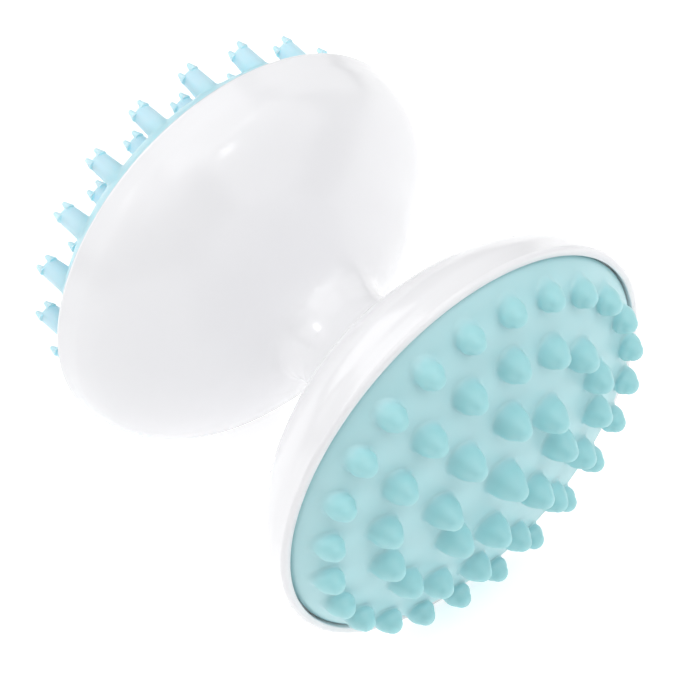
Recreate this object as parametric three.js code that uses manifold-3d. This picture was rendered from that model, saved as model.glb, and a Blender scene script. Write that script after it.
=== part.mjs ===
// Double-ended scalp massager brush, lying on its two rims.
// Millimetres, +Z up. The body is turned about one horizontal axis along Y:
// the bump face looks towards -Y and the bristle face towards +Y.
//
// Each end is drawn in its own end frame: +Y is outwards through the face,
// and y = 0 is the plane of the white rim's front edge.

import * as THREE from 'three';
import { mergeVertices } from 'three/addons/utils/BufferGeometryUtils.js';
import Module from 'manifold-3d';

const wasm = await Module();
wasm.setup();

// ---- driving dimensions -------------------------------------------------

const DISC_RADIUS = 42.5;
const RIM_TO_RIM = 65.7;
const WAIST_RADIUS = 10.6;
const WALL = 2.2;
const GAP = 0.3;
const TURN_STEPS = 40;
const SMALL_TURN_STEPS = 16;
const BELL_STEPS = 9;
const BUMP_STEPS = 7;
const BRISTLE_STEPS = 8;

// The white rim: a rounded lip round a shallow seat for the soft pad.
const LIP_ROUND = 0.5;
const SEAT_RADIUS = 40.75;
const SEAT_DEPTH = 2.4;
const BORE_RADIUS = 39;
const BORE_DEPTH = 4.6;
const BORE_STEP = 1;

// The two shells meet in a ring-shaped joint near the bump end of the waist.
const SEAM_DEPTH = 26.4;
const SEAM_RADIUS = 13.1;
const SEAM_FLARE = 0.5;
const WAIST_BORE = 7.8;
const SPIGOT_RADIUS = WAIST_BORE - GAP;
const SPIGOT_BORE = 5.6;
const SPIGOT_LENGTH = 5.1;
const SPIGOT_FLOOR = 2.6;

// The screw post stands on a web that closes the waist tube.
const POST_RADIUS = 4.2;
const WEB_DEPTH = 18.7;
const WEB_THICKNESS = 3;
const PILOT_PAST_WEB = 1;
const RIB_COUNT = 4;
const RIB_THICKNESS = 1.4;
const KEY_LENGTH = 3;

const SCREW_RADIUS = 1.6;
const SCREW_HOLE_RADIUS = 2;
const SCREW_HEAD_RADIUS = 3.6;
const SCREW_HEAD_HEIGHT = 2.4;
const SCREW_HEAD_FLAT = 2.5;
const SCREW_LENGTH = 10.9;
const SCREW_POINT = 1.6;
const SCREW_RECESS = 1.2;
const RECESS_WIDTH = 0.9;
const RECESS_REACH = 2;

// Soft pads and the stiff carriers that they are stretched over.
const PAD_RADIUS = 40.4;
const PAD_SKIN = 2.6;
const CARRIER_RADIUS = 38;
const CARRIER_PLATE = 1.8;
const CARRIER_SKIRT_DEPTH = 4.2;
const CARRIER_RIBS = 6;
const CARRIER_RIB_DEPTH = 2.4;
const CARRIER_RIB_REACH = 37;
const CARRIER_CLEARANCE = 0.45;

// A pad's face is a shallow ball-shaped crown with a rounder shoulder.
const CROWN_BALL = 120;
const CROWN_STEPS = 2;
const SHOULDER_STOPS = [37.2, 39.2];
const BUMP_DOME = { height: 8.45, crownRadius: 35, shoulder: 10 };
const BRISTLE_DOME = { height: 11.3, crownRadius: 34, shoulder: 10 };

// Rings of bumps: how many, on what radius, turned by how much, and their size.
const BUMP_RINGS = [
  { count: 1, ring: 0, turn: 0, base: 4, height: 6.7 },
  { count: 8, ring: 13.9, turn: 6.3, base: 3.6, height: 5.8 },
  { count: 16, ring: 25.4, turn: 7.3, base: 3.3, height: 4.9 },
  { count: 24, ring: 35.7, turn: 7.5, base: 2.7, height: 4.2 },
];
const BUMP_TIP = 1.45;
const BUMP_NOSE = 0.9;

// Rings of bristles, all of one thickness. Each ends in a crown of four short nibs.
const BRISTLE_RINGS = [
  { count: 5, ring: 7.5, turn: 8, height: 6.3 },
  { count: 10, ring: 17, turn: 8.5, height: 6.9 },
  { count: 15, ring: 27, turn: 20.5, height: 6.9 },
  { count: 20, ring: 37, turn: 2.2, height: 6.2 },
];
const BRISTLE_BASE = 2.3;
const BRISTLE_TOP = 2.1;
const NIB_HEIGHT = 1.4;
const NIB_GAP = 1.9;
const NODULE_SINK = 3.4;

// With a flat of the turned rim at the bottom, the axis stands this high.
const AXIS_HEIGHT = DISC_RADIUS * Math.cos(Math.PI / TURN_STEPS);

// The bristles reach further out than the bumps, so the part is set back by half of that.
const tipHeight = (dome, { ring, height }) => domeHeight(dome, ring) + height;
const reach = (dome, rings) => Math.max(...rings.map((row) => tipHeight(dome, row)));

// ---- materials -----------------------------------------------------------

const material = (look) => (name) => new THREE.MeshStandardMaterial({ name, ...look });
const whitePlastic = material({ color: 0xf1f0f4, roughness: 0.22 });
const teal = material({ color: 0xaed9de, roughness: 0.5 });
const natural = material({ color: 0xd9dadd, roughness: 0.5 });
const steel = material({ color: 0xb4b6ba, roughness: 0.35, metalness: 1 });

// ---- helpers -------------------------------------------------------------

// A turned solid about Y from [radius, y] points, with a flat at the bottom.
function turned(points, steps = TURN_STEPS) {
  const outline = points.map(([radius, y]) => new THREE.Vector2(radius, y));
  return new THREE.LatheGeometry(outline, steps, Math.PI / steps);
}

// A closed three.js geometry as a manifold-3d solid with its faces outwards.
function solid(geometry) {
  const bare = geometry.clone();
  bare.deleteAttribute('normal');
  bare.deleteAttribute('uv');
  const merged = mergeVertices(bare, 1e-4);
  const vertProperties = new Float32Array(merged.attributes.position.array);
  const corners = Array.from(merged.index.array);
  const triVerts = [];
  for (let i = 0; i < corners.length; i += 3) {
    const [a, b, c] = corners.slice(i, i + 3);
    if (a !== b && b !== c && c !== a) triVerts.push(a, b, c);
  }
  const faces = new Uint32Array(signedVolume(vertProperties, triVerts) < 0 ? triVerts.reverse() : triVerts);
  return new wasm.Manifold(new wasm.Mesh({ numProp: 3, vertProperties, triVerts: faces }));
}

function signedVolume(positions, triangles) {
  const corner = (i) => new THREE.Vector3().fromArray(positions, triangles[i] * 3);
  let volume = 0;
  for (let i = 0; i < triangles.length; i += 3) {
    volume += corner(i).dot(corner(i + 1).cross(corner(i + 2))) / 6;
  }
  return volume;
}

function geometryOf(manifold) {
  const mesh = manifold.getMesh();
  const geometry = new THREE.BufferGeometry();
  geometry.setAttribute('position', new THREE.BufferAttribute(mesh.vertProperties, 3));
  geometry.setIndex(new THREE.BufferAttribute(mesh.triVerts, 1));
  geometry.computeVertexNormals();
  return geometry;
}

function joined(pieces) {
  return pieces.reduce((whole, piece) => whole.add(piece));
}

// A box from radius to radius and y to y, of the given width, turned about Y.
function spoke(fromRadius, toRadius, fromY, toY, width, angle) {
  const box = new THREE.BoxGeometry(toRadius - fromRadius, toY - fromY, width);
  box.translate((fromRadius + toRadius) / 2, (fromY + toY) / 2, 0);
  box.rotateY(angle);
  return box;
}

function piece(name, material, shape) {
  const mesh = new THREE.Mesh(shape, material(name));
  mesh.name = name;
  return mesh;
}

// ---- the bell-shaped shells ------------------------------------------------

// The bell's outside behind the lip, as [radius, y] from the rim to the waist.
function bellCurve() {
  const through = [
    [41.5, -2.2], [40.95, -6], [39.3, -9], [36.4, -12], [32.4, -15], [26.5, -19],
    [19.6, -22.6], [SEAM_RADIUS, -SEAM_DEPTH], [WAIST_RADIUS + SEAM_FLARE, -SEAM_DEPTH - 3],
    [WAIST_RADIUS, -RIM_TO_RIM / 2],
  ];
  return new THREE.SplineCurve(through.map(([radius, y]) => new THREE.Vector2(radius, y)));
}

function bellPoints(steps, inset = 0) {
  const curve = bellCurve();
  const points = [];
  for (let i = 0; i <= steps; i += 1) {
    const t = i / steps;
    const at = curve.getPoint(t);
    const along = curve.getTangent(t);
    points.push([at.x + along.y * inset, at.y - along.x * inset]);
  }
  return points;
}

// The lip's front edge from the pad seat out to the back of the lip.
function lipPoints() {
  const centre = DISC_RADIUS - LIP_ROUND;
  const quarter = LIP_ROUND * Math.SQRT1_2;
  return [
    [centre, 0], [centre + quarter, quarter - LIP_ROUND], [DISC_RADIUS, -LIP_ROUND],
  ];
}

// The seat, the bore and the hollow behind it, down to the given depth.
function hollowPoints(depth) {
  const inside = bellPoints(BELL_STEPS, WALL)
    .filter(([radius]) => radius < BORE_RADIUS)
    .filter(([, y]) => y < -BORE_DEPTH - BORE_STEP && y > -depth);
  return [
    [SEAT_RADIUS, 0], [SEAT_RADIUS, -SEAT_DEPTH],
    [BORE_RADIUS, -SEAT_DEPTH], [BORE_RADIUS, -BORE_DEPTH],
    ...inside,
  ];
}

function bumpShell() {
  const spigotEnd = SEAM_DEPTH + SPIGOT_LENGTH;
  const outside = bellPoints(BELL_STEPS).filter(([, y]) => y > -SEAM_DEPTH + GAP);
  const body = turned([
    ...hollowPoints(SEAM_DEPTH - WALL).reverse(),
    ...lipPoints(),
    ...outside,
    [SEAM_RADIUS, -SEAM_DEPTH],
    [SPIGOT_RADIUS, -SEAM_DEPTH],
    [SPIGOT_RADIUS, -spigotEnd],
    [SCREW_HOLE_RADIUS, -spigotEnd],
    [SCREW_HOLE_RADIUS, -spigotEnd + SPIGOT_FLOOR],
    [SPIGOT_BORE, -spigotEnd + SPIGOT_FLOOR],
    [SPIGOT_BORE, -SEAM_DEPTH + WALL],
    hollowPoints(SEAM_DEPTH - WALL).at(-1),
  ]);
  const keywayWidth = RIB_THICKNESS + 2 * GAP;
  const keywayEnd = -spigotEnd + KEY_LENGTH + 2 * GAP;
  const keyways = spokes(RIB_COUNT).map((angle) => solid(spoke(
    SPIGOT_BORE - GAP, WAIST_BORE, -spigotEnd - GAP, keywayEnd, keywayWidth, angle,
  )));
  return geometryOf(solid(body).subtract(joined(keyways)));
}

// Angles of evenly spaced spokes.
function spokes(count) {
  return Array.from({ length: count }, (_, i) => (2 * Math.PI * i) / count);
}

function bristleShell() {
  const seam = RIM_TO_RIM - SEAM_DEPTH - GAP;
  const postEnd = RIM_TO_RIM - SEAM_DEPTH - SPIGOT_LENGTH - GAP;
  const webBack = WEB_DEPTH + WEB_THICKNESS;
  const toMiddle = bellPoints(BELL_STEPS);
  const pastMiddle = toMiddle
    .map(([radius, y]) => [radius, -RIM_TO_RIM - y])
    .reverse()
    .slice(1)
    .filter(([, y]) => y > -seam + GAP);
  const pilot = SCREW_RADIUS + GAP;
  const pilotEnd = webBack + PILOT_PAST_WEB;
  const body = turned([
    [0, -pilotEnd],
    [pilot, -pilotEnd],
    [pilot, -postEnd],
    [POST_RADIUS, -postEnd],
    [POST_RADIUS, -webBack],
    [WAIST_BORE, -webBack],
    [WAIST_BORE, -seam],
    [SEAM_RADIUS, -seam],
    ...pastMiddle.reverse(),
    ...toMiddle.slice().reverse(),
    ...lipPoints().reverse(),
    ...hollowPoints(WEB_DEPTH),
    [0, -WEB_DEPTH],
  ]);
  const ribOuter = WAIST_BORE + GAP;
  const ribs = spokes(RIB_COUNT).flatMap((angle) => [
    spoke(POST_RADIUS - WALL / 4, ribOuter, -postEnd + GAP, -webBack + GAP, RIB_THICKNESS, angle),
    spoke(SPIGOT_BORE, ribOuter, -postEnd - KEY_LENGTH, -postEnd + 2 * GAP, RIB_THICKNESS, angle),
  ].map(solid));
  return geometryOf(solid(body).add(joined(ribs)));
}

// A pan-head screw with a cross recess; y = 0 is under its head.
function waistScrew() {
  const body = turned([
    [0, -SCREW_LENGTH],
    [SCREW_RADIUS, SCREW_POINT - SCREW_LENGTH],
    [SCREW_RADIUS, 0],
    [SCREW_HEAD_RADIUS, 0],
    [SCREW_HEAD_RADIUS, SCREW_HEAD_HEIGHT / 2],
    [SCREW_HEAD_FLAT, SCREW_HEAD_HEIGHT],
    [0, SCREW_HEAD_HEIGHT],
  ], SMALL_TURN_STEPS);
  const recess = spokes(2).map((angle) => solid(spoke(
    -RECESS_REACH, RECESS_REACH, SCREW_HEAD_HEIGHT - SCREW_RECESS, SCREW_HEAD_HEIGHT + GAP,
    RECESS_WIDTH, angle / 2,
  )));
  return geometryOf(solid(body).subtract(joined(recess)));
}

// ---- pads and carriers -----------------------------------------------------

// Height of a pad's face above the rim plane at a radius.
function domeHeight(dome, radius) {
  const crown = Math.min(radius, dome.crownRadius);
  const crownFall = CROWN_BALL - Math.sqrt(CROWN_BALL ** 2 - crown ** 2);
  if (radius <= dome.crownRadius) return dome.height - crownFall;
  const startSine = dome.crownRadius / CROWN_BALL;
  const sine = startSine + (radius - dome.crownRadius) / dome.shoulder;
  const fall = dome.shoulder * (Math.sqrt(1 - startSine ** 2) - Math.sqrt(1 - sine ** 2));
  return dome.height - crownFall - fall;
}

// Points on the face from the axis to the pad's edge, lowered by some depth.
function domePoints(dome, lowered) {
  const crown = Array.from({ length: CROWN_STEPS }, (_, i) => (dome.crownRadius * i) / CROWN_STEPS);
  const radii = [...crown, dome.crownRadius, ...SHOULDER_STOPS];
  return radii.map((radius) => [radius, domeHeight(dome, radius) - lowered]);
}

// The same face cut off at a smaller radius.
function domePointsTo(dome, lowered, edge) {
  const inner = domePoints(dome, lowered).filter(([radius]) => radius < edge);
  return [...inner, [edge, domeHeight(dome, edge) - lowered]];
}

const CARRIER_TOP = PAD_SKIN + CARRIER_CLEARANCE;
const CARRIER_UNDERSIDE = CARRIER_TOP + CARRIER_PLATE;
const PAD_FOOT = GAP - SEAT_DEPTH;

function padDisc(dome) {
  return solid(turned([
    ...domePointsTo(dome, 0, PAD_RADIUS),
    [PAD_RADIUS, PAD_FOOT],
    [CARRIER_RADIUS + GAP, PAD_FOOT],
    ...domePointsTo(dome, PAD_SKIN, CARRIER_RADIUS + GAP).reverse(),
  ]));
}

function carrier(dome) {
  const inner = CARRIER_RADIUS - CARRIER_PLATE;
  const plate = solid(turned([
    ...domePointsTo(dome, CARRIER_TOP, CARRIER_RADIUS),
    [CARRIER_RADIUS, -CARRIER_SKIRT_DEPTH],
    [inner, -CARRIER_SKIRT_DEPTH],
    ...domePointsTo(dome, CARRIER_UNDERSIDE, inner).reverse(),
  ]));
  const ribFoot = domeHeight(dome, CARRIER_RIB_REACH) - CARRIER_UNDERSIDE - CARRIER_RIB_DEPTH;
  const ribTop = dome.height - CARRIER_TOP - CARRIER_PLATE / 2;
  const ribs = spokes(CARRIER_RIBS).map((angle) => (
    solid(spoke(0, CARRIER_RIB_REACH, ribFoot, ribTop, CARRIER_PLATE, angle))
  ));
  const roof = solid(turned([
    ...domePointsTo(dome, CARRIER_TOP + CARRIER_PLATE / 2, inner + CARRIER_PLATE / 2),
    [inner + CARRIER_PLATE / 2, -CARRIER_SKIRT_DEPTH],
    [0, -CARRIER_SKIRT_DEPTH],
  ]));
  return geometryOf(plate.add(joined(ribs).intersect(roof)));
}

// A round-nosed cone that stands on y = 0 and reaches into the pad below it.
function bump({ base, height }) {
  return solid(turned([
    [0, -NODULE_SINK], [base, -NODULE_SINK], [base, 0],
    [BUMP_TIP, height - BUMP_NOSE],
    [BUMP_TIP * Math.SQRT1_2, height - BUMP_NOSE / 3],
    [0, height],
  ], BUMP_STEPS));
}

// A straight stem whose end is cut crosswise, which leaves four nibs.
function bristle({ height }) {
  const stem = turned([
    [0, -NODULE_SINK], [BRISTLE_BASE, -NODULE_SINK], [BRISTLE_BASE, 0],
    [BRISTLE_TOP, height], [0, height],
  ], BRISTLE_STEPS);
  const slots = spokes(2).map((angle) => solid(spoke(
    -BRISTLE_BASE, BRISTLE_BASE, height - NIB_HEIGHT, height + GAP, NIB_GAP, angle / 2,
  )));
  return solid(stem).subtract(joined(slots));
}

// Copies of a nodule round each ring, each turned with its place on the ring.
function nodules(rings, dome, shape) {
  return rings.flatMap((row) => spokes(row.count).map((angle) => {
    const polar = angle + THREE.MathUtils.degToRad(row.turn);
    const place = [row.ring * Math.cos(polar), domeHeight(dome, row.ring), row.ring * Math.sin(polar)];
    return shape(row).rotate([0, -THREE.MathUtils.radToDeg(polar), 0]).translate(place);
  }));
}

// The nodules are cut off inside the pad's skin, clear of the carrier under it.
function pad(dome, rings, shape) {
  const under = solid(turned([
    ...domePointsTo(dome, PAD_SKIN / 2 + GAP, PAD_RADIUS),
    [PAD_RADIUS, -SEAT_DEPTH],
    [0, -SEAT_DEPTH],
  ]));
  const standing = joined(nodules(rings, dome, shape)).subtract(under);
  return geometryOf(padDisc(dome).add(standing));
}

// ---- the assembly ------------------------------------------------------------

const bumpEnd = new THREE.Group();
bumpEnd.rotation.z = Math.PI;
bumpEnd.position.y = -RIM_TO_RIM / 2;
bumpEnd.add(
  piece('bump_shell', whitePlastic, bumpShell()),
  piece('bump_carrier', natural, carrier(BUMP_DOME)),
  piece('bump_pad', teal, pad(BUMP_DOME, BUMP_RINGS, bump)),
);

const screw = piece('waist_screw', steel, waistScrew());
screw.position.y = -SEAM_DEPTH - SPIGOT_LENGTH + SPIGOT_FLOOR + GAP;
bumpEnd.add(screw);

const bristleEnd = new THREE.Group();
bristleEnd.position.y = RIM_TO_RIM / 2;
bristleEnd.add(
  piece('bristle_shell', whitePlastic, bristleShell()),
  piece('bristle_carrier', natural, carrier(BRISTLE_DOME)),
  piece('bristle_pad', teal, pad(BRISTLE_DOME, BRISTLE_RINGS, bristle)),
);

const massager = new THREE.Group();
massager.position.z = AXIS_HEIGHT;
massager.position.y = (reach(BUMP_DOME, BUMP_RINGS) - reach(BRISTLE_DOME, BRISTLE_RINGS)) / 2;
massager.add(bumpEnd, bristleEnd);

export default massager;
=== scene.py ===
"""Looks of the double-ended scalp massager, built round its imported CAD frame.

The body lies on its two rims with its turning axis along Y: the bump face
looks towards -Y and the bristle face towards +Y. Each end is described in its
own terms: "radius" is the distance from the axis, and "out" is the distance
outwards from that end's rim plane. Sizes in the outlines are millimetres.
"""

import math

import bmesh
import bpy
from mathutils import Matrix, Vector


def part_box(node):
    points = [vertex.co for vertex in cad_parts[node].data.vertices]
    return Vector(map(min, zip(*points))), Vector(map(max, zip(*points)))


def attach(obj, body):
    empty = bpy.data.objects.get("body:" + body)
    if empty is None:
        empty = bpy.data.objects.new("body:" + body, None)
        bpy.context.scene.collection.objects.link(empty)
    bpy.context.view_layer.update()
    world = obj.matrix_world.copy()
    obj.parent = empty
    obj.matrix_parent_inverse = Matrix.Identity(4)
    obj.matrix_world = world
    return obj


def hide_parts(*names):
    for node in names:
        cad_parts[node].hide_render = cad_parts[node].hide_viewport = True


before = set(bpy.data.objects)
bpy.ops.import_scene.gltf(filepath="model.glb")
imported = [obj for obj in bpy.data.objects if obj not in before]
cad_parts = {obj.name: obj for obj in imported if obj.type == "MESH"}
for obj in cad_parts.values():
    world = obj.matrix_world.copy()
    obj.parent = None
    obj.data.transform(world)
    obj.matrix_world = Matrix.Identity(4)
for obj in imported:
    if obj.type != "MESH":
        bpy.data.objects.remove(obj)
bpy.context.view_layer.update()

# ---- sizes taken from the frame ----------------------------------------------

MM = 0.001
bump_shell_low, bump_shell_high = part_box("bump_shell")
bristle_shell_low, bristle_shell_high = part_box("bristle_shell")
AXIS_HEIGHT = (bump_shell_low.z + bump_shell_high.z) / 2
BUMP_RIM_Y = bump_shell_low.y
BRISTLE_RIM_Y = bristle_shell_high.y
RIM_TO_RIM = (BRISTLE_RIM_Y - BUMP_RIM_Y) / MM
RIM_RADIUS = AXIS_HEIGHT / MM


class End:
    """One end of the body: where its rim plane is and which way its face looks."""

    def __init__(self, rim_y, outwards):
        self.rim_y = rim_y
        self.outwards = outwards

    def place(self, x, out, z):
        """A point at x and z off the axis and out of the rim plane, in world metres."""
        return Vector((x * MM, self.rim_y + self.outwards * out * MM, AXIS_HEIGHT + z * MM))


BUMP_END = End(BUMP_RIM_Y, -1)
BRISTLE_END = End(BRISTLE_RIM_Y, 1)

# ---- outline of the white shells ----------------------------------------------

TURN_STEPS = 192
WALL = 2.2

# The white rim: a rounded lip, a shallow seat for the pad, and a bore behind it.
LIP_ROUND = 0.9
LIP_ROUND_STEPS = 8
LIP_FLAT = 0.05
SEAT_RADIUS = 40.75
SEAT_EDGE = 0.25
SEAT_EDGE_STEPS = 4
SEAT_DEPTH = 2.4
BORE_RADIUS = 39
BORE_DEPTH = 4.6
BORE_STEP = 1

# The two shells meet near the bump end of the waist.
SEAM_RADIUS = 13.1
SEAM_DEPTH = 26.4
SEAM_GAP = 0.12
SEAM_EDGE = 0.12
WAIST_BORE = 7.8
WAIST_RADIUS = 10.6
WAIST_FLARE = 0.5
WAIST_FLARE_DEPTH = 29.4

# A web closes the waist, and the bump shell's spigot plugs into the waist's bore.
WEB_DEPTH = 18.7
WEB_THICKNESS = 3
SPIGOT_END = 31.5
SPIGOT_FLOOR = 28.9
SPIGOT_BORE = 5.6
SPIGOT_GAP = 0.3
SCREW_HOLE = 2

# The bell's outside behind the lip, from just behind the lip to the waist.
BELL = [
    (42.15, -1.8), (41.85, -3.2), (41.3, -5.6), (39.7, -8.8), (36.7, -12), (32.4, -15.2), (26.5, -19),
    (19.6, -22.6), (SEAM_RADIUS, -SEAM_DEPTH), (WAIST_RADIUS + WAIST_FLARE, -WAIST_FLARE_DEPTH),
    (WAIST_RADIUS, -RIM_TO_RIM / 2),
]
BELL_STEPS = 10

# The hollow behind the bore is the bell's outside moved towards the axis and towards the rim.
HOLLOW_IN = WALL * 0.55
HOLLOW_OUT = WALL * 0.9

# ---- pads ------------------------------------------------------------------------

PAD_RADIUS = 40.4
PAD_FOOT = -2.1
PAD_SKIN = 2.6
PAD_STEPS = 60
UNDERSIDE_STOP = 20
CROWN_BALL = 120
BUMP_DOME = {"height": 8.45, "crown_radius": 35, "shoulder": 10}
BRISTLE_DOME = {"height": 11.3, "crown_radius": 34, "shoulder": 10}

# Rings: how many, on what radius, turned from +X by how many degrees, and their size.
BUMP_RINGS = [
    {"count": 1, "ring": 0, "turn": 0, "base": 3.9, "height": 6.7},
    {"count": 8, "ring": 13.9, "turn": 38.73, "base": 3.5, "height": 5.8},
    {"count": 16, "ring": 25.4, "turn": 15.24, "base": 3.2, "height": 4.9},
    {"count": 24, "ring": 35.7, "turn": 7.45, "base": 2.65, "height": 4.2},
]

# A bump has a round tip, a flank that bulges a little, and a fillet at its foot.
BUMP_TIP = 1.9
BUMP_BULGE = 0.35
BUMP_FILLET = 0.7
BUMP_FILLET_STEPS = 5
BUMP_FLANK_STEPS = 8
BUMP_TIP_STEPS = 6
SLOPE_START = 60
SLOPE_ROUNDS = 12

BRISTLE_RINGS = [
    {"count": 5, "ring": 7.5, "turn": 8, "height": 5},
    {"count": 10, "ring": 17, "turn": 8.5, "height": 5.6},
    {"count": 15, "ring": 27, "turn": 20.5, "height": 5.0},
    {"count": 20, "ring": 36.6, "turn": 2.17, "height": 4.7},
]

# A bristle is a stem with a rounded, dished end. The outermost ring leans outwards by
# this share of its height, and the inner rings by less.
BRISTLE_BASE = 2.25
BRISTLE_TOP = 2.05
BRISTLE_ROUND = 0.7
BRISTLE_DISH = 0.3
BRISTLE_FILLET = 0.5
BRISTLE_LEAN = 0.11
STEM_STEPS = 4
QUARTER_STEPS = 5

# The crown of nibs on a bristle's end. A nib's foot flares: (times its radius, height).
NIB_COUNT = 4
NIB_RING = 1.7
NIB_RADIUS = 0.5
NIB_HEIGHT = 1.4
NIB_TURN = -15
NIB_SIDES = 12
NIB_FLARE = [(1.9, -0.6), (1.6, 0), (1.25, 0.45)]
NIB_TIP_STEPS = 4

# A nodule's roots reach into the pad, and its foot lies just under the pad's face.
NODULE_SIDES = 28
NODULE_SINK = 1.2
FOOT_SINK = 0.04
EDGE_CLEARANCE = 0.1

# How far above the pad's face the silicone of a nodule counts as thick. On the bristles this also
# spreads the painted glow of light shining through them.
THICKNESS = "silicone_thickness"
BUMP_FULL = 2.4
BRISTLE_FULL = 3


# ---- mesh helpers --------------------------------------------------------------

def smooth_through(points, steps):
    """Points on a smooth curve (Catmull-Rom) through the given ones."""
    ends = [points[0], *points, points[-1]]
    curve = []
    for i in range(len(points) - 1):
        p0, p1, p2, p3 = (Vector(p) for p in ends[i:i + 4])
        for k in range(steps):
            t = k / steps
            curve.append(0.5 * (
                2 * p1 + (p2 - p0) * t + (2 * p0 - 5 * p1 + 4 * p2 - p3) * t ** 2
                + (3 * p1 - p0 - 3 * p2 + p3) * t ** 3
            ))
    curve.append(Vector(points[-1]))
    return curve


def arc(centre, radius, start, end, steps):
    """Points on an arc in the outline's plane, angles in degrees from the radius direction."""
    points = []
    for i in range(steps + 1):
        a = math.radians(start + (end - start) * i / steps)
        points.append(Vector((centre[0] + radius * math.cos(a), centre[1] + radius * math.sin(a))))
    return points


def new_piece(name, bm, body, material, sharp_degrees=40):
    """Makes a mesh object from bm, smooth but for edges sharper than the given angle."""
    for face in bm.faces:
        face.smooth = True
    limit = math.radians(sharp_degrees)
    for edge in bm.edges:
        edge.smooth = len(edge.link_faces) != 2 or edge.calc_face_angle() < limit
    mesh = bpy.data.meshes.new(name)
    bm.to_mesh(mesh)
    bm.free()
    obj = bpy.data.objects.new(name, mesh)
    bpy.context.scene.collection.objects.link(obj)
    obj.data.materials.append(material)
    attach(obj, body)
    return obj


def add_turned(bm, end, outline, steps=TURN_STEPS):
    """Turns a closed (radius, out) outline about the end's axis into bm."""
    rings = []
    for radius, out in outline:
        if radius <= 0:
            rings.append([bm.verts.new(end.place(0, out, 0))] * steps)
            continue
        ring = []
        for k in range(steps):
            a = 2 * math.pi * k / steps
            ring.append(bm.verts.new(end.place(radius * math.cos(a), out, radius * math.sin(a))))
        rings.append(ring)
    faces = []
    for ring, following in zip(rings, rings[1:] + rings[:1]):
        for k in range(steps):
            corners = [ring[k], ring[(k + 1) % steps], following[(k + 1) % steps], following[k]]
            unique = list(dict.fromkeys(corners))
            if len(unique) > 2:
                faces.append(bm.faces.new(unique))
    bmesh.ops.recalc_face_normals(bm, faces=faces)


# ---- white shells -----------------------------------------------------------------

def lip_outline():
    """The rounded front edge of the rim, from the pad's seat to the back of the lip."""
    front = arc((SEAT_RADIUS + SEAT_EDGE, -SEAT_EDGE), SEAT_EDGE, 180, 90, SEAT_EDGE_STEPS)
    edge = arc((RIM_RADIUS - LIP_ROUND, -LIP_ROUND), LIP_ROUND, 90, 0, LIP_ROUND_STEPS)
    return front + edge


def bell_outline():
    """The bell's outside from the back of the lip to the middle of the waist."""
    return smooth_through([(RIM_RADIUS, -LIP_ROUND - LIP_FLAT), *BELL], BELL_STEPS)


def cup_outline(depth):
    """The pad's seat, the bore and the hollow behind it, from the front to the given depth."""
    moved = [(point.x - HOLLOW_IN, point.y + HOLLOW_OUT) for point in bell_outline()]
    inside = [
        (radius, out) for radius, out in moved
        if -depth < out < -BORE_DEPTH - BORE_STEP and radius < BORE_RADIUS
    ]
    seat = [(SEAT_RADIUS, -SEAT_DEPTH), (BORE_RADIUS, -SEAT_DEPTH), (BORE_RADIUS, -BORE_DEPTH)]
    return seat + inside


def bump_bell(material):
    """The shell of the bump end, down to the spigot that plugs into the waist."""
    outside = [p for p in bell_outline() if p.y > -SEAM_DEPTH]
    depth = SEAM_DEPTH - WALL
    spigot = [
        (WAIST_BORE - SPIGOT_GAP, -SEAM_DEPTH), (WAIST_BORE - SPIGOT_GAP, -SPIGOT_END),
        (SCREW_HOLE, -SPIGOT_END), (SCREW_HOLE, -SPIGOT_FLOOR), (SPIGOT_BORE, -SPIGOT_FLOOR),
        (SPIGOT_BORE, -depth),
    ]
    bm = bmesh.new()
    last = outside[-1]
    outline = [*lip_outline(), *outside, (last.x - SEAM_EDGE, -SEAM_DEPTH), *spigot]
    outline += list(reversed(cup_outline(depth)))
    add_turned(bm, BUMP_END, outline)
    piece = new_piece("bump_bell", bm, "spool", material)
    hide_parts("bump_shell")


def bristle_bell(material):
    """The shell of the bristle end, in one with the waist."""
    near = bell_outline()
    seam = -RIM_TO_RIM + SEAM_DEPTH + SEAM_GAP
    past_waist = [
        Vector((p.x, -RIM_TO_RIM - p.y)) for p in reversed(near)
        if -RIM_TO_RIM - p.y > seam
    ]
    last = past_waist[-1]
    web_back = -WEB_DEPTH - WEB_THICKNESS
    tube = [(last.x - SEAM_EDGE, seam), (WAIST_BORE, seam), (WAIST_BORE, web_back), (0, web_back)]
    bm = bmesh.new()
    outline = [*lip_outline(), *near, *past_waist[1:], *tube, (0, -WEB_DEPTH)]
    outline += list(reversed(cup_outline(WEB_DEPTH)))
    add_turned(bm, BRISTLE_END, outline)
    piece = new_piece("bristle_bell", bm, "spool", material)
    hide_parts("bristle_shell")


# ---- pads -----------------------------------------------------------------------------

def dome_out(dome, radius):
    """How far out a pad's face is at a radius: a ball-shaped crown with a rounder shoulder."""
    crown = min(radius, dome["crown_radius"])
    out = dome["height"] - CROWN_BALL + math.sqrt(CROWN_BALL ** 2 - crown ** 2)
    if radius <= dome["crown_radius"]:
        return out
    start = dome["crown_radius"] / CROWN_BALL
    sine = start + (radius - dome["crown_radius"]) / dome["shoulder"]
    return out - dome["shoulder"] * (math.sqrt(1 - start ** 2) - math.sqrt(max(0, 1 - sine ** 2)))


def pad_solid(end, dome):
    """The pad without its nodules: the face, and a skirt down into the seat."""
    bm = bmesh.new()
    radii = [PAD_RADIUS * i / PAD_STEPS for i in range(PAD_STEPS + 1)]
    face = [(radius, dome_out(dome, radius)) for radius in radii]
    inner = PAD_RADIUS - PAD_SKIN
    stops = (inner, dome["crown_radius"], UNDERSIDE_STOP, 0)
    under = [(radius, dome_out(dome, radius) - PAD_SKIN) for radius in stops]
    add_turned(bm, end, [*face, (PAD_RADIUS, PAD_FOOT), (inner, PAD_FOOT), *under])
    return bm


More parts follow.
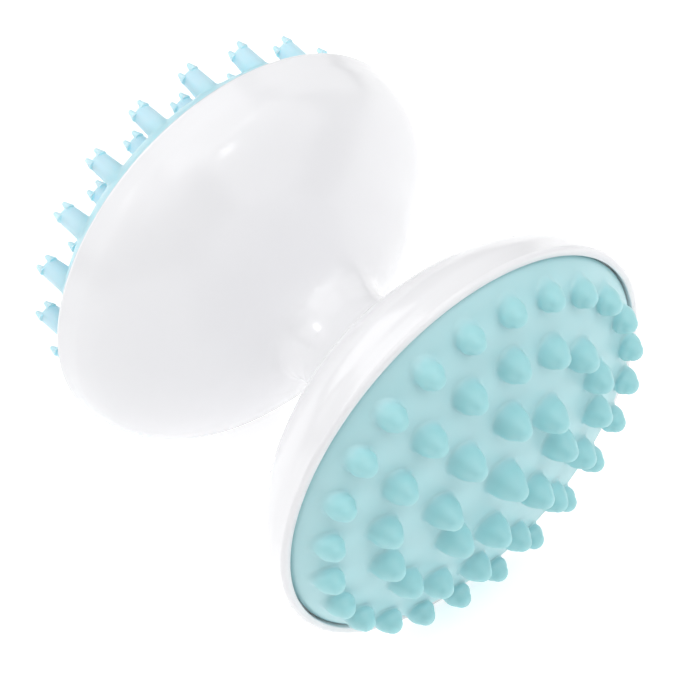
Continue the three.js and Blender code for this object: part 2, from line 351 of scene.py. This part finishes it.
def united(*solids):
    """One mesh out of several overlapping solids, each given as a bmesh."""
    scraps = []
    for bm in solids:
        mesh = bpy.data.meshes.new("scrap")
        bm.to_mesh(mesh)
        bm.free()
        scrap = bpy.data.objects.new("scrap", mesh)
        bpy.context.scene.collection.objects.link(scrap)
        scraps.append(scrap)
    whole = scraps[0]
    for scrap in scraps[1:]:
        union = whole.modifiers.new("union", "BOOLEAN")
        union.operation = "UNION"
        union.solver = "MANIFOLD"
        union.object = scrap
    merged = bmesh.new()
    merged.from_object(whole, bpy.context.evaluated_depsgraph_get())
    for scrap in scraps:
        mesh = scrap.data
        bpy.data.objects.remove(scrap)
        bpy.data.meshes.remove(mesh)
    return merged


def flank_slope(base, height):
    """How steeply a bump's flank rises from its base to where it meets the round tip."""
    slope = math.radians(SLOPE_START)
    for _ in range(SLOPE_ROUNDS):
        rise = height - BUMP_TIP + BUMP_TIP * math.cos(slope)
        slope = math.atan2(rise, base - BUMP_TIP * math.sin(slope))
    return slope


def bump_profile(base, height):
    """(radius, height) from the foot's fillet up the bulging flank to the round tip."""
    slope = flank_slope(base, height)
    tip_centre = height - BUMP_TIP
    foot = base + BUMP_FILLET * math.tan(slope / 2)
    points = []
    for i in range(BUMP_FILLET_STEPS + 1):
        a = slope * i / BUMP_FILLET_STEPS
        points.append((foot - BUMP_FILLET * math.sin(a), BUMP_FILLET * (1 - math.cos(a))))
    start = points[-1]
    stop = (BUMP_TIP * math.sin(slope), tip_centre + BUMP_TIP * math.cos(slope))
    for i in range(1, BUMP_FLANK_STEPS):
        t = i / BUMP_FLANK_STEPS
        bulge = BUMP_BULGE * math.sin(math.pi * t)
        points.append((
            start[0] + (stop[0] - start[0]) * t + bulge * math.sin(slope),
            start[1] + (stop[1] - start[1]) * t + bulge * math.cos(slope),
        ))
    for i in range(BUMP_TIP_STEPS + 1):
        a = slope * (1 - i / BUMP_TIP_STEPS)
        points.append((BUMP_TIP * math.sin(a), tip_centre + BUMP_TIP * math.cos(a)))
    return points


def bristle_profile(height):
    """(radius, height) from the foot's fillet up the stem, over its shoulder to the dished top."""
    quarter = [math.radians(90 * i / QUARTER_STEPS) for i in range(QUARTER_STEPS + 1)]
    fillet = [
        (BRISTLE_BASE + BRISTLE_FILLET * (1 - math.sin(a)), BRISTLE_FILLET * (1 - math.cos(a)))
        for a in quarter
    ]
    stem_top = height - BRISTLE_ROUND
    stem = []
    for i in range(1, STEM_STEPS + 1):
        stem.append((
            BRISTLE_BASE + (BRISTLE_TOP - BRISTLE_BASE) * i / STEM_STEPS,
            BRISTLE_FILLET + (stem_top - BRISTLE_FILLET) * i / STEM_STEPS,
        ))
    shoulder = [
        (BRISTLE_TOP - BRISTLE_ROUND * (1 - math.cos(a)), stem_top + BRISTLE_ROUND * math.sin(a))
        for a in quarter[1:]
    ]
    return [*fillet, *stem, *shoulder, (0, height - BRISTLE_DISH)]


def add_nodule(bm, end, dome, centre, profile, lean=0.0):
    """Stands a round nodule on the dome: its foot follows the dome, its top is square to the axis."""
    foot = profile[0][0]
    roots = [(0, -NODULE_SINK), (foot, -NODULE_SINK)]
    profile = roots + [(radius, up - FOOT_SINK) for radius, up in profile]
    distance = math.hypot(*centre)
    outward = Vector(centre) / distance if distance else Vector((0, 0))
    middle = dome_out(dome, distance)
    top = max(height for _, height in profile)
    rings = []
    for radius, height in profile:
        follow = min(1.0, max(0.0, 1 - height / top)) ** 2
        shift = outward * (lean * height)
        ring = []
        for k in range(NODULE_SIDES if radius > 0 else 1):
            a = 2 * math.pi * k / NODULE_SIDES
            x = centre[0] + radius * math.cos(a)
            z = centre[1] + radius * math.sin(a)
            under = dome_out(dome, min(math.hypot(x, z), PAD_RADIUS - EDGE_CLEARANCE))
            out = height + under * follow + middle * (1 - follow)
            ring.append(bm.verts.new(end.place(x + shift.x, out, z + shift.y)))
        rings.append(ring)
    join_rings(bm, end, rings)


def join_rings(bm, end, rings):
    """Faces between rings of points, looking outwards; the end rings may be single points."""
    sides = max(len(ring) for ring in rings)
    for ring, following in zip(rings, rings[1:]):
        for k in range(sides):
            pair = (k, (k + 1) % sides)
            near = [ring[i % len(ring)] for i in pair]
            far = [following[i % len(following)] for i in reversed(pair)]
            corners = list(dict.fromkeys(near + far))
            bm.faces.new(corners if end.outwards < 0 else corners[::-1])


def ring_centres(row):
    """Centres of one ring of nodules, as (x, z) off the axis."""
    for k in range(row["count"]):
        a = math.radians(row["turn"] + 360 * k / row["count"])
        yield row["ring"] * math.cos(a), row["ring"] * math.sin(a)


def bump_pad(material):
    """The soft pad with its rings of bumps, in one."""
    bumps = bmesh.new()
    for row in BUMP_RINGS:
        profile = bump_profile(row["base"], row["height"])
        for centre in ring_centres(row):
            add_nodule(bumps, BUMP_END, BUMP_DOME, centre, profile)
    whole = united(pad_solid(BUMP_END, BUMP_DOME), bumps)
    piece = new_piece("bump_pad_soft", whole, "bump_insert", material)
    mark_thickness(piece, BUMP_END, BUMP_DOME, BUMP_FULL)
    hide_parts("bump_pad")


def nib_profile():
    """(radius, height) of a nib, from inside the bristle up its flaring foot to its round nose."""
    foot = [(NIB_RADIUS * times, up) for times, up in NIB_FLARE]
    nose = []
    for i in range(NIB_TIP_STEPS):
        a = math.radians(90 * i / NIB_TIP_STEPS)
        nose.append((NIB_RADIUS * math.cos(a), NIB_HEIGHT - NIB_RADIUS + NIB_RADIUS * math.sin(a)))
    return [(0, foot[0][1]), *foot, *nose, (0, NIB_HEIGHT)]


def add_nib(bm, end, foot, lean, outward):
    """A small round-nosed pin on the top of a bristle, leaning as the bristle does."""
    rings = []
    for radius, up in nib_profile():
        shift = outward * (lean * up)
        ring = []
        for k in range(NIB_SIDES if radius > 0 else 1):
            a = 2 * math.pi * k / NIB_SIDES
            x = foot[0] + shift.x + radius * math.cos(a)
            z = foot[2] + shift.y + radius * math.sin(a)
            ring.append(bm.verts.new(end.place(x, foot[1] + up, z)))
        rings.append(ring)
    join_rings(bm, end, rings)


def add_crown(bm, row, centre, lean):
    """The nibs on the end of the bristle at the given centre; all crowns are turned alike."""
    outward = Vector(centre).normalized()
    top = Vector(centre) + outward * (lean * row["height"])
    out = dome_out(BRISTLE_DOME, row["ring"]) + row["height"] - BRISTLE_DISH / 2
    for k in range(NIB_COUNT):
        a = math.radians(NIB_TURN + 360 * k / NIB_COUNT)
        foot = (top.x + NIB_RING * math.cos(a), out, top.y + NIB_RING * math.sin(a))
        add_nib(bm, BRISTLE_END, foot, lean, outward)


def bristle_pad(material):
    """The soft pad with its rings of crowned bristles, in one."""
    stems = bmesh.new()
    nibs = bmesh.new()
    for row in BRISTLE_RINGS:
        profile = bristle_profile(row["height"])
        lean = BRISTLE_LEAN * row["ring"] / BRISTLE_RINGS[-1]["ring"]
        for centre in ring_centres(row):
            add_nodule(stems, BRISTLE_END, BRISTLE_DOME, centre, profile, lean)
            add_crown(nibs, row, centre, lean)
    whole = united(pad_solid(BRISTLE_END, BRISTLE_DOME), stems, nibs)
    piece = new_piece("bristle_pad_soft", whole, "bristle_insert", material)
    # The thickness mask also places the painted glow of backlight on the bristles.
    mark_thickness(piece, BRISTLE_END, BRISTLE_DOME, BRISTLE_FULL)
    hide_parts("bristle_pad")


def mark_thickness(piece, end, dome, full):
    """Stores how thick the silicone is: 0 on the pad's skin, 1 on a nodule's upper part."""
    mesh = piece.data
    layer = mesh.attributes.new(THICKNESS, "FLOAT", "POINT")
    for vertex, value in zip(mesh.vertices, layer.data):
        radius = math.hypot(vertex.co.x, vertex.co.z - AXIS_HEIGHT) / MM
        out = end.outwards * (vertex.co.y - end.rim_y) / MM
        above = out - dome_out(dome, min(radius, PAD_RADIUS))
        value.value = min(1.0, max(0.0, above / full))


# ---- materials ---------------------------------------------------------------------------

# Noise lies mostly between these values; the helpers below stretch or clip it there.
NOISE_LOW = 0.3
NOISE_HIGH = 0.7
TONE_LOW = 0.35
TONE_HIGH = 0.65

# How far light travels in the silicone (metres), and how that differs for red, green and blue.
SCATTER_DEPTH = 0.002
SCATTER_TINT = (0.6, 1.0, 1.05)


def new_material(name):
    """A node material with its main shader."""
    material = bpy.data.materials.new(name)
    material.use_nodes = True
    return material, material.node_tree.nodes["Principled BSDF"]


def noise(material, scale, detail=3.0):
    """Noise that is fixed to the object."""
    nodes = material.node_tree.nodes
    place = nodes.new("ShaderNodeTexCoord")
    texture = nodes.new("ShaderNodeTexNoise")
    texture.inputs["Scale"].default_value = scale
    texture.inputs["Detail"].default_value = detail
    material.node_tree.links.new(place.outputs["Object"], texture.inputs["Vector"])
    return texture.outputs["Fac"]


def spread(material, source, low, high):
    """Maps noise onto a range of values."""
    ranged = material.node_tree.nodes.new("ShaderNodeMapRange")
    ranged.inputs["From Min"].default_value = NOISE_LOW
    ranged.inputs["From Max"].default_value = NOISE_HIGH
    ranged.inputs["To Min"].default_value = low
    ranged.inputs["To Max"].default_value = high
    material.node_tree.links.new(source, ranged.inputs["Value"])
    return ranged.outputs["Result"]


def ramp(material, source, first, last):
    """A colour between two (position, colour) stops."""
    node = material.node_tree.nodes.new("ShaderNodeValToRGB")
    for element, (position, colour) in zip(node.color_ramp.elements, (first, last)):
        element.position = position
        element.color = (*colour, 1)
    material.node_tree.links.new(source, node.inputs["Fac"])
    return node.outputs["Color"]


def two_tones(material, source, dark, light):
    """A colour that drifts between two tones with the noise."""
    return ramp(material, source, (TONE_LOW, dark), (TONE_HIGH, light))


def surface_grain(material, shader, source, strength, distance):
    """Slight unevenness of the surface."""
    bump = material.node_tree.nodes.new("ShaderNodeBump")
    bump.inputs["Strength"].default_value = strength
    bump.inputs["Distance"].default_value = distance
    material.node_tree.links.new(source, bump.inputs["Height"])
    material.node_tree.links.new(bump.outputs["Normal"], shader.inputs["Normal"])


def white_plastic():
    """Glossy moulded plastic: nearly even white, with faint flow marks in its gloss."""
    material, shader = new_material("white_gloss_plastic")
    link = material.node_tree.links.new
    flow = noise(material, scale=22)
    colour = two_tones(material, flow, dark=(0.84, 0.84, 0.86), light=(0.86, 0.86, 0.877))
    link(colour, shader.inputs["Base Color"])
    gloss = spread(material, noise(material, scale=90), low=0.14, high=0.19)
    link(gloss, shader.inputs["Roughness"])
    swell = noise(material, scale=60, detail=2)
    surface_grain(material, shader, swell, strength=0.1, distance=0.00004)
    return material


def silicone(name, thin, thick, scatter):
    """Satin silicone, slightly cloudy: one tone where it is a thin skin, another where it is thick."""
    material, shader = new_material(name)
    nodes = material.node_tree.nodes
    link = material.node_tree.links.new
    thickness = nodes.new("ShaderNodeAttribute")
    thickness.attribute_name = THICKNESS
    cloud = spread(material, noise(material, scale=45), low=-0.08, high=0.08)
    total = nodes.new("ShaderNodeMath")
    total.operation = "ADD"
    total.use_clamp = True
    link(thickness.outputs["Fac"], total.inputs[0])
    link(cloud, total.inputs[1])
    colour = ramp(material, total.outputs["Value"], (0, thin), (1, thick))
    link(colour, shader.inputs["Base Color"])
    satin = spread(material, noise(material, scale=300), low=0.34, high=0.44)
    link(satin, shader.inputs["Roughness"])
    grain = noise(material, scale=900, detail=4)
    surface_grain(material, shader, grain, strength=0.12, distance=0.00005)
    shader.inputs["Subsurface Weight"].default_value = scatter
    shader.inputs["Subsurface Radius"].default_value = SCATTER_TINT
    shader.inputs["Subsurface Scale"].default_value = SCATTER_DEPTH
    return material


def bump_silicone():
    """Teal silicone that is deeper in the bumps than in the pad's skin."""
    return silicone(
        "teal_silicone_bumps", thin=(0.45, 0.72, 0.755), thick=(0.36, 0.69, 0.72), scatter=0.2,
    )


def bristle_silicone():
    """Paler and cloudier teal silicone. The lighter tone in the bristles is partly the silicone's own
    paler teal and partly painted glow of light shining through them from behind.
    """
    return silicone(
        # thick: the bristles' own paler teal, lifted further by painted glow of backlight shining
        # through them
        "teal_silicone_bristles_painted_glow", thin=(0.47, 0.73, 0.80), thick=(0.56, 0.76, 0.84), scatter=0.8,
    )


def natural_plastic():
    """Uncoloured matt plastic of the hidden carriers."""
    material, shader = new_material("natural_matt_plastic")
    link = material.node_tree.links.new
    drift = noise(material, scale=40)
    colour = two_tones(material, drift, dark=(0.66, 0.67, 0.68), light=(0.74, 0.75, 0.76))
    link(colour, shader.inputs["Base Color"])
    matt = spread(material, noise(material, scale=200), low=0.45, high=0.6)
    link(matt, shader.inputs["Roughness"])
    grain = noise(material, scale=700, detail=4)
    surface_grain(material, shader, grain, strength=0.2, distance=0.0001)
    return material


def screw_steel():
    """Zinc-plated steel of the screw."""
    material, shader = new_material("zinc_plated_steel")
    link = material.node_tree.links.new
    spangle = noise(material, scale=400)
    colour = two_tones(material, spangle, dark=(0.55, 0.56, 0.58), light=(0.68, 0.69, 0.7))
    link(colour, shader.inputs["Base Color"])
    brushed = spread(material, noise(material, scale=900), low=0.25, high=0.4)
    link(brushed, shader.inputs["Roughness"])
    shader.inputs["Metallic"].default_value = 1.0
    return material


def dress(node, material):
    """Gives a carried-over CAD node its finished material."""
    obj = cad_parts[node]
    obj.data.materials.clear()
    obj.data.materials.append(material)


# ---- floor, light and camera ------------------------------------------------------------

FLOOR_HALF = 4.0


def studio_floor():
    """A plain pale floor with a faint glow of its own, as a lit sweep has."""
    bm = bmesh.new()
    corners = [
        (-FLOOR_HALF, -FLOOR_HALF), (FLOOR_HALF, -FLOOR_HALF),
        (FLOOR_HALF, FLOOR_HALF), (-FLOOR_HALF, FLOOR_HALF),
    ]
    bm.faces.new([bm.verts.new((x, y, 0)) for x, y in corners])
    mesh = bpy.data.meshes.new("studio_floor")
    bm.to_mesh(mesh)
    bm.free()
    floor = bpy.data.objects.new("studio_floor", mesh)
    bpy.context.scene.collection.objects.link(floor)
    material, shader = new_material("pale_floor")
    drift = noise(material, scale=3)
    colour = two_tones(material, drift, dark=(0.9, 0.9, 0.9), light=(0.92, 0.92, 0.92))
    material.node_tree.links.new(colour, shader.inputs["Base Color"])
    shader.inputs["Roughness"].default_value = 0.9
    shader.inputs["Emission Color"].default_value = (1, 1, 1, 1)
    shader.inputs["Emission Strength"].default_value = FLOOR_GLOW
    mesh.materials.append(material)


# Softboxes round the object: which way they stand (azimuth 0 is in front of the bump
# face, positive towards +X), how high, their width in metres and their power in watts.
SOFTBOX_DISTANCE = 1.0
SOFTBOXES = {
    "left_small": {"azimuth": -122, "elevation": 38, "width": 0.14, "power": 1.0},
    "left_big": {"azimuth": -115, "elevation": 35, "width": 0.9, "power": 2.5},
    "right_small": {"azimuth": 8, "elevation": 47, "width": 0.12, "power": 0.3},
    "right_big": {"azimuth": 30, "elevation": 40, "width": 1.0, "power": 4.0},
    "camera_side": {"azimuth": -45, "elevation": 55, "width": 0.8, "power": 1.4},
    "top": {"azimuth": 0, "elevation": 88, "width": 1.0, "power": 4.0},
    "back_left": {"azimuth": -170, "elevation": 25, "width": 0.6, "power": 2.2},
    "back_right": {"azimuth": 100, "elevation": 28, "width": 0.8, "power": 1.7},
}
WORLD_STRENGTH = 0.135
FLOOR_GLOW = 0.38


def softbox(name, azimuth, elevation, width, power):
    """A square lamp that looks at the middle of the body."""
    data = bpy.data.lights.new(name, "AREA")
    data.shape = "SQUARE"
    data.size = width
    data.energy = power
    lamp = bpy.data.objects.new(name, data)
    bpy.context.scene.collection.objects.link(lamp)
    turn = math.radians(azimuth)
    rise = math.radians(elevation)
    level = math.cos(rise)
    towards = Vector((math.sin(turn) * level, -math.cos(turn) * level, math.sin(rise)))
    lamp.location = Vector((0, 0, AXIS_HEIGHT)) + towards * SOFTBOX_DISTANCE
    lamp.rotation_mode = "QUATERNION"
    lamp.rotation_quaternion = (-towards).to_track_quat("-Z", "Y")


def studio():
    """White surroundings and the softboxes."""
    world = bpy.data.worlds.new("studio_world")
    bpy.context.scene.world = world
    world.use_nodes = True
    background = world.node_tree.nodes["Background"]
    background.inputs["Color"].default_value = (1, 1, 1, 1)
    background.inputs["Strength"].default_value = WORLD_STRENGTH
    for name, settings in SOFTBOXES.items():
        softbox(name, **settings)


# Where the camera stands from the middle of the bump rim, and which way it looks.
CAMERA_LENS = 143.1
CAMERA_SENSOR = 36
CAMERA_CLIP = 0.01
CAMERA_FROM_BUMP_RIM = Vector((-215.2, -218.9, 370.2)) * MM
CAMERA_LOOK = Vector((0.43129, 0.50940, -0.74465))


def camera():
    """The camera, placed from the middle of the bump rim."""
    data = bpy.data.cameras.new("camera")
    data.lens = CAMERA_LENS
    data.sensor_width = CAMERA_SENSOR
    data.clip_start = CAMERA_CLIP
    obj = bpy.data.objects.new("camera", data)
    bpy.context.scene.collection.objects.link(obj)
    obj.location = BUMP_END.place(0, 0, 0) + CAMERA_FROM_BUMP_RIM
    obj.rotation_mode = "QUATERNION"
    obj.rotation_quaternion = CAMERA_LOOK.to_track_quat("-Z", "Y")
    bpy.context.scene.camera = obj


# ---- put together -----------------------------------------------------------------------

white = white_plastic()
natural = natural_plastic()
bump_bell(white)
bristle_bell(white)
bump_pad(bump_silicone())
bristle_pad(bristle_silicone())
dress("bump_carrier", natural)
dress("bristle_carrier", natural)
dress("waist_screw", screw_steel())
studio_floor()
studio()
camera()
bpy.context.scene.view_settings.view_transform = "Standard"

bpy.context.view_layer.update()
